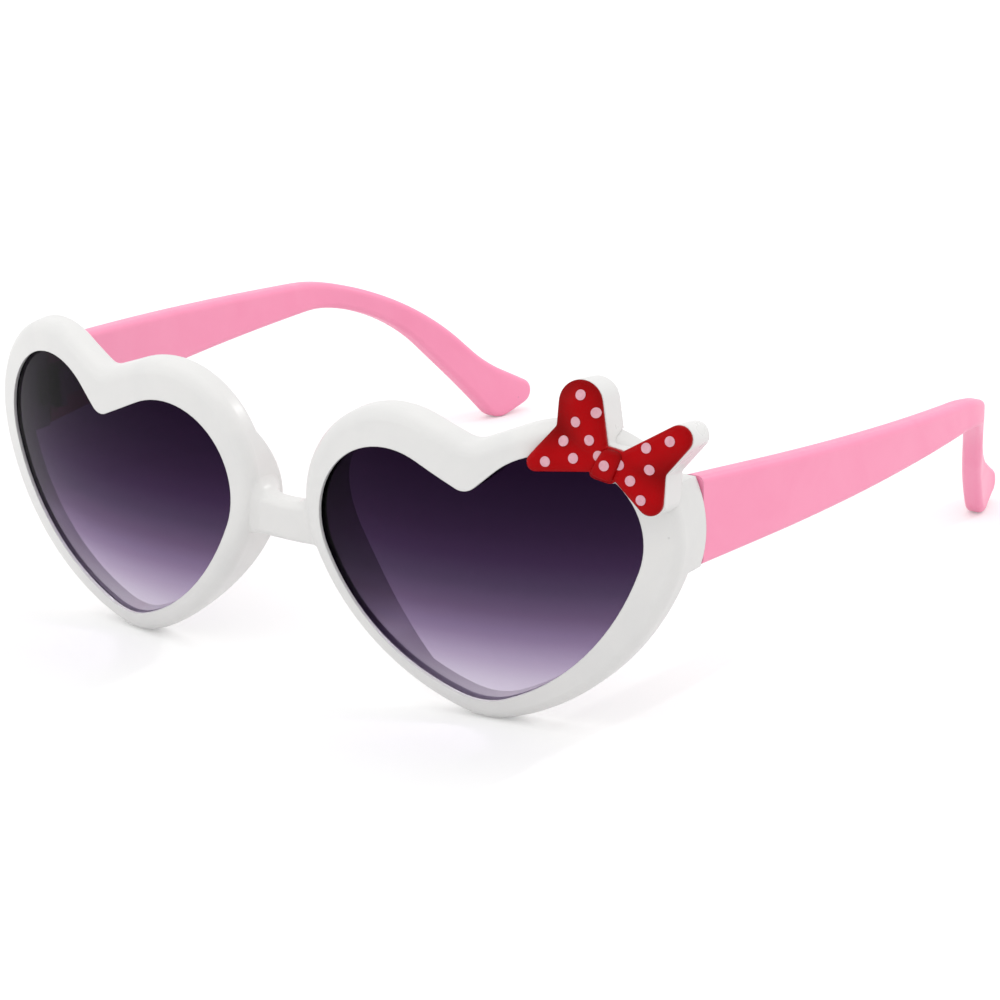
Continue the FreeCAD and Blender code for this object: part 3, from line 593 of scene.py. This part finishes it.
# Dots of the bow: round spots of pale pink ink, pad-printed over the lacquer of the wings and the knot.
# They follow the swell of both, and two of them run partly under the knot.
INK = (0.720, 0.390, 0.450, 1.0)
INK_THIN = (0.640, 0.310, 0.380, 1.0)
INK_SKIN = {"grain": 6000.0, "flow": 1500.0, "gloss": (0.28, 0.45), "peel": 0.15, "deep": 0.05 * MM}
DOT_CUTS = 3
DOT_SPARE = 0.05 * MM
DOT_LIFT = 0.03 * MM
DOT_REACH = 0.8 * MM
# Middles of the dots that the knot partly covers, and how far they slip under it
TUCKED = [Vector((-1.85, 1.8)) * MM, Vector((2.7, 0.5)) * MM]
TUCK = 0.85 * MM


def pink_ink():
    """Satin ink, thinner in patches."""
    material, tree, shader, mottle = fine_skin("pink_ink", **INK_SKIN)
    feed(tree, shader, {"Base Color": tint(tree, mottle, INK, INK_THIN)})
    return material


dots = placed("bow_dots_printed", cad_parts["bow_dots"].data.copy())
net = bmesh.new()
net.from_mesh(dots.data)
bmesh.ops.remove_doubles(net, verts=net.verts, dist=WELD)
bmesh.ops.subdivide_edges(net, edges=net.edges, cuts=DOT_CUTS, use_grid_fill=True)
net.to_mesh(dots.data)
net.free()
for vertex in dots.data.vertices:
    spot = INTO_BOW @ vertex.co
    for middle in TUCKED:
        if (spot.xy - middle).length < DOT_REACH:
            spot.xy -= middle.normalized() * TUCK
            break
    drop = knot_drop if spot.z > KNOT_CROWN - DOT_SPARE else lobe_drop
    spot.z += DOT_LIFT - drop(spot.x, spot.y)
    vertex.co = BOW_FRAME @ spot
dots.data.update()
dress(dots, pink_ink(), "bow_dots")


# Floor and light of the studio: a plain white sheet that keeps the object's shadow, an even white tent all
# round, a broad soft lamp overhead, a weaker one from the front and a small one behind for a spark on edges.
FLOOR_HALF = 2.5
FLOOR_TONE = (0.80, 0.80, 0.80, 1.0)
FLOOR_LIFT = 0.25
TENT_TONE = (1.0, 1.0, 1.0, 1.0)
TENT_LIGHT = 0.96
# Each lamp's power, place and width
OVERHEAD = (1.0, Vector((-0.10, -0.15, 0.75)), 0.9)
FRONT_FILL = (0.6, Vector((-0.55, -0.75, 0.35)), 0.6)
BACK_SPARK = (0.5, Vector((0.33, 0.42, 0.50)), 0.02)
AIM = Vector((0.0, -0.02, 0.02))


def seen_rays(tree):
    """1 for what the camera sees directly, in a reflection or through the lenses."""
    path = put(tree, "LightPath").outputs
    either = put(tree, "Math", {0: path["Is Camera Ray"], 1: path["Is Glossy Ray"]}, operation="MAXIMUM")
    return put(tree, "Math", {0: either.outputs["Value"], 1: path["Is Transmission Ray"]},
               operation="MAXIMUM").outputs["Value"]


def soft_lamp(name, power, place, width):
    """A square lamp that looks at the object."""
    lamp = bpy.data.lights.new(name, "AREA")
    lamp.energy = power
    lamp.size = width
    piece = placed(name, lamp)
    piece.location = place
    piece.rotation_euler = (AIM - place).to_track_quat("-Z", "Y").to_euler()


sheet_mesh = bpy.data.meshes.new("studio_sheet")
corners = [(-FLOOR_HALF, -FLOOR_HALF, 0.0), (FLOOR_HALF, -FLOOR_HALF, 0.0), (FLOOR_HALF, FLOOR_HALF, 0.0),
           (-FLOOR_HALF, FLOOR_HALF, 0.0)]
sheet_mesh.from_pydata(corners, [], [(0, 1, 2, 3)])
studio_sheet = placed("studio_sheet", sheet_mesh)
paper = bpy.data.materials.new("studio_paper")
paper.use_nodes = True
tree = paper.node_tree
tree.nodes.clear()
matt = put(tree, "BsdfDiffuse", {"Color": FLOOR_TONE})
lift = put(tree, "Math", {0: seen_rays(tree), 1: FLOOR_LIFT}, operation="MULTIPLY")
glow = put(tree, "Emission", {"Strength": lift.outputs["Value"]})
both = put(tree, "AddShader", {0: matt.outputs["BSDF"], 1: glow.outputs["Emission"]})
put(tree, "OutputMaterial", {"Surface": both.outputs["Shader"]})
sheet_mesh.materials.append(paper)

tent = bpy.data.worlds.new("white_tent")
tent.use_nodes = True
tree = tent.node_tree
tree.nodes.clear()
level = put(tree, "MapRange", {"Value": seen_rays(tree), "To Min": TENT_LIGHT, "To Max": 1.0})
sky = put(tree, "Background", {"Color": TENT_TONE, "Strength": level.outputs["Result"]})
put(tree, "OutputWorld", {"Surface": sky.outputs["Background"]})
bpy.context.scene.world = tent

soft_lamp("overhead_lamp", *OVERHEAD)
soft_lamp("front_lamp", *FRONT_FILL)
soft_lamp("spark_lamp", *BACK_SPARK)


# Camera: stands where the photograph was taken from, before the wearer's left side and a little above, with
# a long lens. Its place, turn, drop and roll were worked out from the outlines in the photograph.
EYE = Vector((304.41, -439.14, 192.61)) * MM
VIEW_TURN = math.radians(36.182)
VIEW_DROP = math.radians(22.137)
VIEW_ROLL = math.radians(-3.29)
LENS_LENGTH = 127.65
SENSOR = 36.0
NEAREST = 10.0 * MM

right = Vector((math.cos(VIEW_TURN), math.sin(VIEW_TURN), 0.0))
ahead = Vector((-math.sin(VIEW_TURN) * math.cos(VIEW_DROP), math.cos(VIEW_TURN) * math.cos(VIEW_DROP),
                -math.sin(VIEW_DROP)))
axes = Matrix((right, right.cross(ahead), -ahead)).transposed()
axes = Matrix.Rotation(FRONT_LEAN, 3, "X") @ axes @ Matrix.Rotation(VIEW_ROLL, 3, "Z")
view = bpy.data.cameras.new("photo_camera")
view.lens = LENS_LENGTH
view.sensor_fit = "HORIZONTAL"
view.sensor_width = SENSOR
view.clip_start = NEAREST
camera = placed("photo_camera", view)
camera.matrix_world = Matrix.Translation(EYE) @ axes.to_4x4()
bpy.context.scene.camera = camera
bpy.context.scene.view_settings.view_transform = "Standard"
